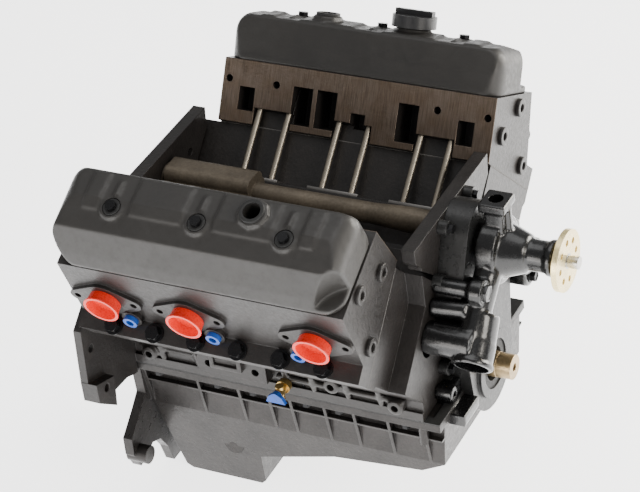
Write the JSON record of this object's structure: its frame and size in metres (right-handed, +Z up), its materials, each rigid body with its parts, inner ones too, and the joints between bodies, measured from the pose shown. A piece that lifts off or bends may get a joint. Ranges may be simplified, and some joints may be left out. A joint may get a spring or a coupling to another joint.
{
  "type": "six-cylinder long block engine",
  "caption": "Ninety degree vee engine long block with covers, ribbed oil pan, water pump, and plastic caps in its exhaust ports.",
  "frame": {"origin": "on the crankshaft's axis, at the rear face of its flywheel flange", "axes": "+X towards the front (water pump) end, +Y towards the left bank, +Z up"},
  "size_m": [0.575, 0.5166, 0.5437],
  "materials": {
    "balance_drive_gear": "machined",
    "balance_driven_gear": "machined",
    "balance_shaft": "as cast with turned journals",
    "cam_bearings": "smooth",
    "cam_sprocket": "machined",
    "camshaft": "ground lobes",
    "core_plugs": "pressed",
    "crank_seal": "smooth",
    "crank_sprocket": "machined",
    "crankshaft": "machined journals, oiled",
    "drain_cock_body": "machined",
    "drain_cock_handle": "blue",
    "engine_block": "satin",
    "exhaust_port_caps": "red",
    "exhaust_valves": "ground",
    "head_bolts": "black oxide",
    "intake_valves": "ground",
    "left_cylinder_head": "satin",
    "left_head_gasket": "graphite composite",
    "left_valve_cover": "satin dark grey",
    "lifters": "ground",
    "main_bearing_caps": "as cast",
    "main_bearings": "smooth",
    "main_cap_bolts": "black oxide",
    "oil_filler_cap": "black",
    "oil_pan": "dark satin, cast",
    "oil_pan_bolts": "black oxide",
    "oil_pan_gasket": "smooth",
    "oil_pickup": "pressed",
    "oil_pump": "as cast",
    "piston_pins": "ground",
    "pistons": "machined",
    "pump_hub": "yellow zinc plate",
    "pump_impeller": "pressed",
    "pump_shaft": "ground",
    "pushrods": "smooth",
    "rear_seal_housing": "cast",
    "right_cylinder_head": "satin",
    "right_head_gasket": "graphite composite",
    "right_valve_cover": "satin dark grey",
    "rocker_arms": "pressed",
    "spark_hole_plugs": "blue",
    "timing_chain": "oiled",
    "timing_cover": "satin",
    "timing_cover_bolts": "black oxide",
    "valve_cover_bolts": "black oxide",
    "valve_springs": "oiled",
    "water_pump_housing": "gloss black"
  },
  "bodies": {
    "long_block": {"cam_bearings": "cam_bearings", "core_plugs": "core_plugs", "crank_seal": "crank_seal", "drain_cock_body": "drain_cock_body", "engine_block": "engine_block", "exhaust_port_caps": "exhaust_port_caps", "exhaust_valves": "exhaust_valves", "head_bolts": "head_bolts", "intake_valves": "intake_valves", "left_cylinder_head": "left_cylinder_head", "left_head_gasket": "left_head_gasket", "left_valve_cover": "left_valve_cover", "lifters": "lifters", "main_bearing_caps": "main_bearing_caps", "main_bearings": "main_bearings", "main_cap_bolts": "main_cap_bolts", "oil_pan": "oil_pan", "oil_pan_bolts": "oil_pan_bolts", "oil_pan_gasket": "oil_pan_gasket", "oil_pickup": "oil_pickup", "oil_pump": "oil_pump", "piston_pins": "piston_pins", "pistons": "pistons", "pushrods": "pushrods", "rear_seal_housing": "rear_seal_housing", "right_cylinder_head": "right_cylinder_head", "right_head_gasket": "right_head_gasket", "right_valve_cover": "right_valve_cover", "rocker_arms": "rocker_arms", "spark_hole_plugs": "spark_hole_plugs", "timing_chain": "timing_chain", "timing_cover": "timing_cover", "timing_cover_bolts": "timing_cover_bolts", "valve_cover_bolts": "valve_cover_bolts", "valve_springs": "valve_springs", "water_pump_housing": "water_pump_housing"},
    "crankshaft": {"crankshaft": "crankshaft", "crank_sprocket": "crank_sprocket"},
    "camshaft": {"camshaft": "camshaft", "cam_sprocket": "cam_sprocket", "balance_drive_gear": "balance_drive_gear"},
    "balance_shaft": {"balance_shaft": "balance_shaft", "balance_driven_gear": "balance_driven_gear"},
    "water_pump_rotor": {"pump_shaft": "pump_shaft", "pump_hub": "pump_hub", "pump_impeller": "pump_impeller"},
    "oil_filler_cap": {"oil_filler_cap": "oil_filler_cap"},
    "drain_cock_handle": {"drain_cock_handle": "drain_cock_handle"}
  },
  "joints": [
    {"name": "crank_spin", "type": "hinge", "parent": "long_block", "child": "crankshaft", "pos_m": [0.2, 0, 0], "axis": [-1, 0, 0], "continuous": true},
    {"name": "cam_spin", "type": "hinge", "parent": "long_block", "child": "camshaft", "pos_m": [0.2, 0, 0.1148], "axis": [-1, 0, 0], "continuous": true},
    {"name": "balance_spin", "type": "hinge", "parent": "long_block", "child": "balance_shaft", "pos_m": [0.2, 0, 0.19481], "axis": [-1, 0, 0], "continuous": true},
    {"name": "pump_spin", "type": "hinge", "parent": "long_block", "child": "water_pump_rotor", "pos_m": [0.5, 0, 0.176], "axis": [-1, 0, 0], "continuous": true},
    {"name": "filler_cap_turn", "type": "hinge", "parent": "long_block", "child": "oil_filler_cap", "pos_m": [0.27816, 0.2203, 0.32327], "axis": [0, 0.454, 0.891], "range_deg": [0, 90]},
    {"name": "drain_cock_turn", "type": "hinge", "parent": "long_block", "child": "drain_cock_handle", "pos_m": [0.236, -0.155, 0.018], "axis": [0, -1, 0], "range_deg": [0, 180]}
  ],
  "couplings": [
    {"joint": "cam_spin", "follows": "crank_spin", "ratio": 0.5},
    {"joint": "balance_spin", "follows": "crank_spin", "ratio": -1}
  ]
}
